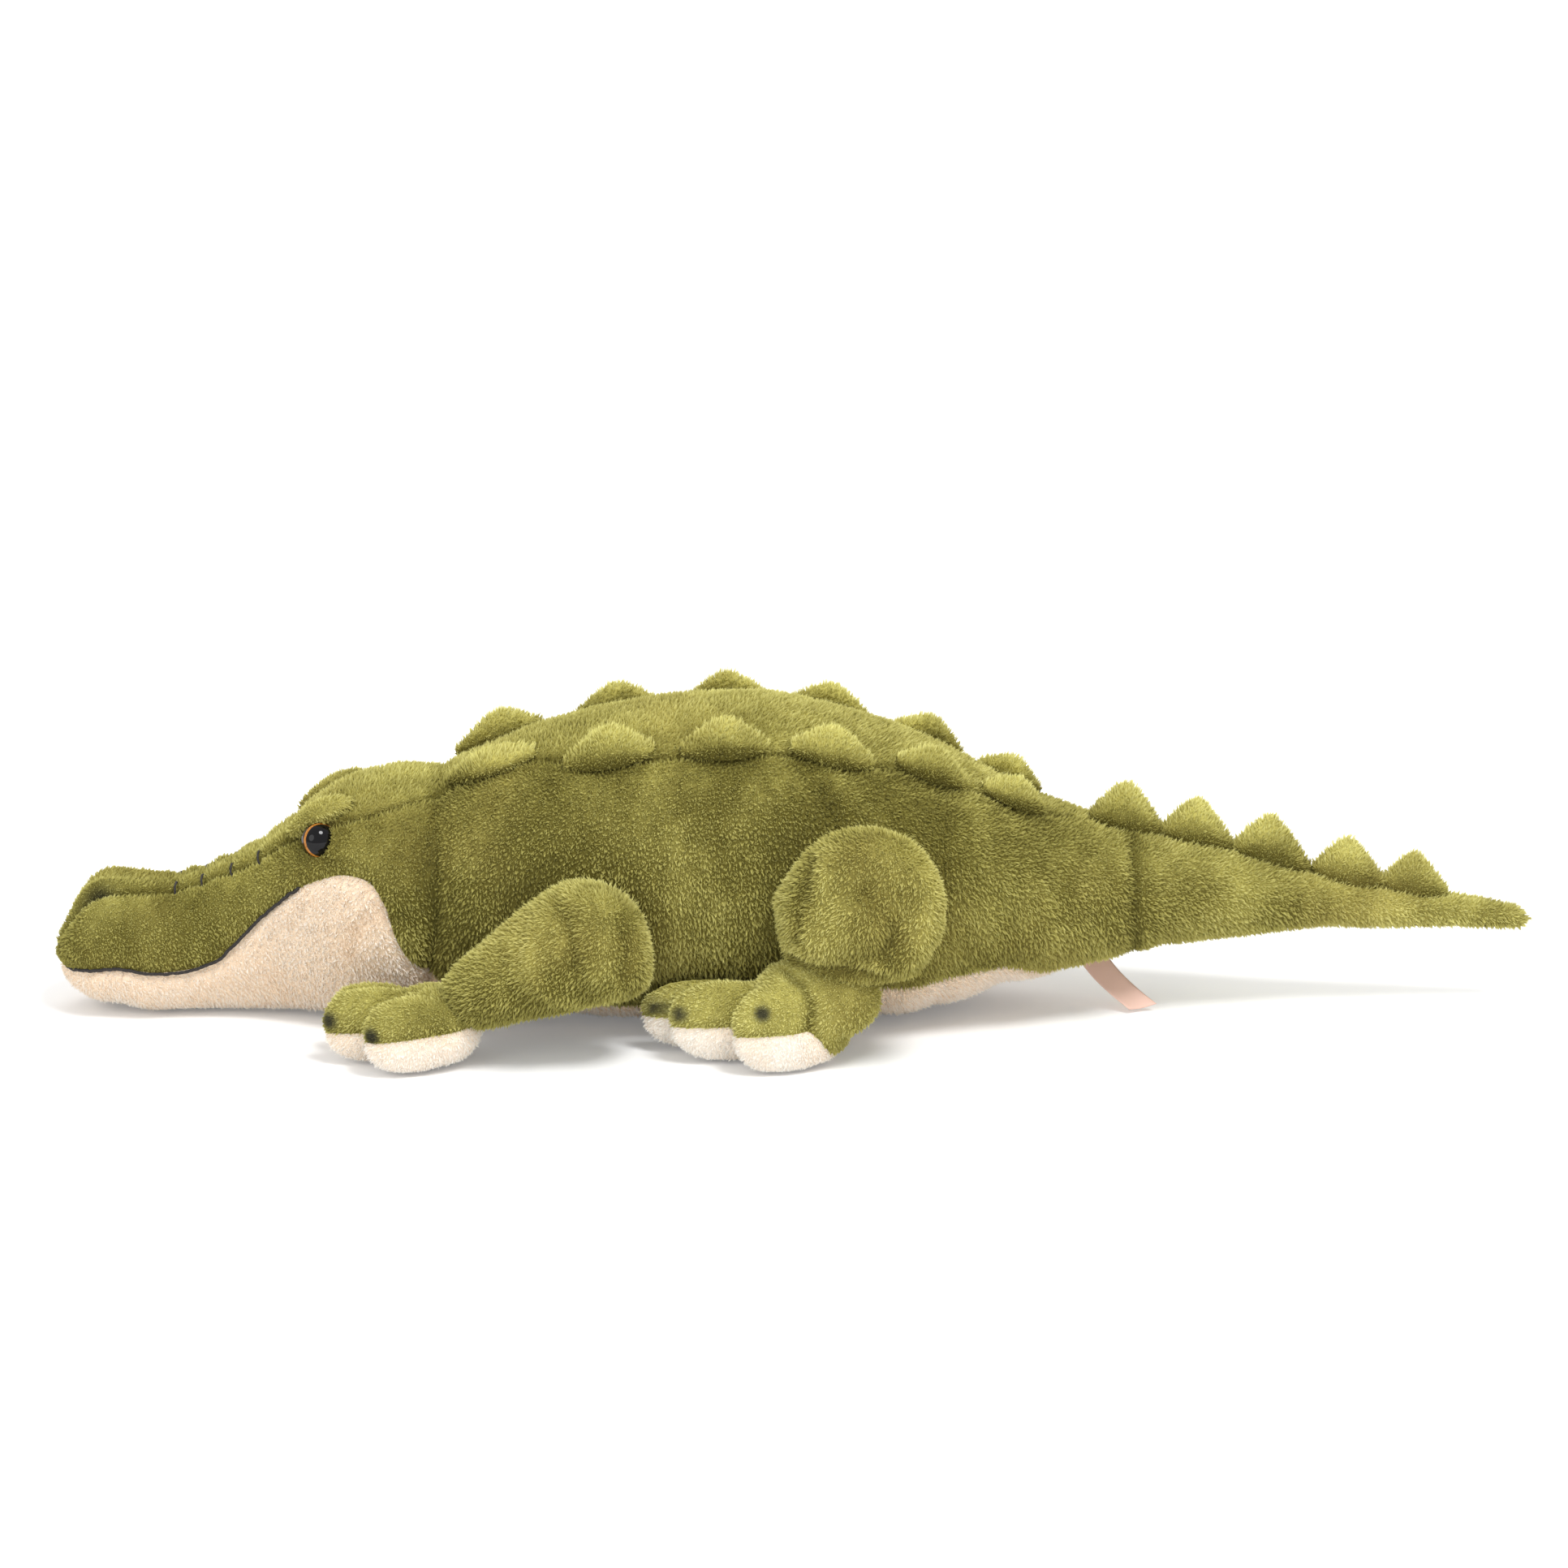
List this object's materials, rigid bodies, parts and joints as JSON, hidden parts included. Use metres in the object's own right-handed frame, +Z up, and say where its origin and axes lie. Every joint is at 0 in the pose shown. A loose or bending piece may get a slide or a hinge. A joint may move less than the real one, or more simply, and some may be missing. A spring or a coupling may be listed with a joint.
{
  "type": "plush crocodile",
  "caption": "Plush crocodile lying on its belly: short-pile green panels over soft filling, pale jaw, belly and soles, pointed scutes along back and tail, domed eyes and padded toed feet.",
  "frame": {"origin": "on the floor under the middle of the length, on the middle plane", "axes": "-X towards the nose, +X towards the tail tip, +Z up, -Y the animal's left side"},
  "size_m": [0.6016, 0.201, 0.1315],
  "materials": {
    "green_plush": "short napped pile, matt",
    "cream_plush": "short napped pile, matt",
    "stuffing": "loose fibre",
    "eye_plastic": "gloss",
    "washer_plastic": "matt",
    "ribbon": "woven satin"
  },
  "bodies": {
    "torso": {"torso_filling": "stuffing", "back_panel": "green_plush", "left_side_panel": "green_plush", "right_side_panel": "green_plush", "belly_panel": "cream_plush", "left_scute_1": "green_plush", "left_scute_2": "green_plush", "left_scute_3": "green_plush", "left_scute_4": "green_plush", "left_scute_5": "green_plush", "left_scute_6": "green_plush", "right_scute_1": "green_plush", "right_scute_2": "green_plush", "right_scute_3": "green_plush", "right_scute_4": "green_plush", "right_scute_5": "green_plush", "right_scute_6": "green_plush"},
    "head": {"head_filling": "stuffing", "head_top_panel": "green_plush", "head_left_panel": "green_plush", "head_right_panel": "green_plush", "jaw_panel": "cream_plush", "left_brow": "green_plush", "right_brow": "green_plush", "left_eye": "eye_plastic", "right_eye": "eye_plastic", "left_eye_washer": "washer_plastic", "right_eye_washer": "washer_plastic"},
    "tail": {"tail_filling": "stuffing", "tail_left_panel": "green_plush", "tail_right_panel": "green_plush", "tail_scute_1": "green_plush", "tail_scute_2": "green_plush", "tail_scute_3": "green_plush", "tail_scute_4": "green_plush", "tail_scute_5": "green_plush", "label_ribbon": "ribbon"},
    "front_left_leg": {"front_left_leg_sleeve": "green_plush", "front_left_leg_filling": "stuffing", "front_left_foot": "green_plush", "front_left_sole": "cream_plush"},
    "front_right_leg": {"front_right_leg_sleeve": "green_plush", "front_right_leg_filling": "stuffing", "front_right_foot": "green_plush", "front_right_sole": "cream_plush"},
    "hind_left_leg": {"hind_left_leg_sleeve": "green_plush", "hind_left_leg_filling": "stuffing", "hind_left_foot": "green_plush", "hind_left_sole": "cream_plush"},
    "hind_right_leg": {"hind_right_leg_sleeve": "green_plush", "hind_right_leg_filling": "stuffing", "hind_right_foot": "green_plush", "hind_right_sole": "cream_plush"}
  },
  "joints": [
    {"name": "neck_bend", "type": "hinge", "parent": "torso", "child": "head", "pos_m": [-0.1985, 0, 0.051], "axis": [0, 0, 1], "range_deg": [-15, 15], "stiffness_Nm_per_rad": 0.6},
    {"name": "tail_bend", "type": "hinge", "parent": "torso", "child": "tail", "pos_m": [0.14985, 0, 0.0507], "axis": [0, 0, 1], "range_deg": [-20, 20], "stiffness_Nm_per_rad": 0.3},
    {"name": "front_left_shoulder", "type": "hinge", "parent": "torso", "child": "front_left_leg", "pos_m": [-0.08308, -0.078, 0.0505], "axis": [0, 1, 0], "range_deg": [-10, 25], "stiffness_Nm_per_rad": 0.3},
    {"name": "front_right_shoulder", "type": "hinge", "parent": "torso", "child": "front_right_leg", "pos_m": [-0.08308, 0.078, 0.0505], "axis": [0, 1, 0], "range_deg": [-10, 25], "stiffness_Nm_per_rad": 0.3},
    {"name": "hind_left_hip", "type": "hinge", "parent": "torso", "child": "hind_left_leg", "pos_m": [0.02649, -0.078, 0.0644], "axis": [0, 1, 0], "range_deg": [-20, 3], "stiffness_Nm_per_rad": 0.3},
    {"name": "hind_right_hip", "type": "hinge", "parent": "torso", "child": "hind_right_leg", "pos_m": [0.02649, 0.078, 0.0644], "axis": [0, 1, 0], "range_deg": [-20, 3], "stiffness_Nm_per_rad": 0.3}
  ]
}
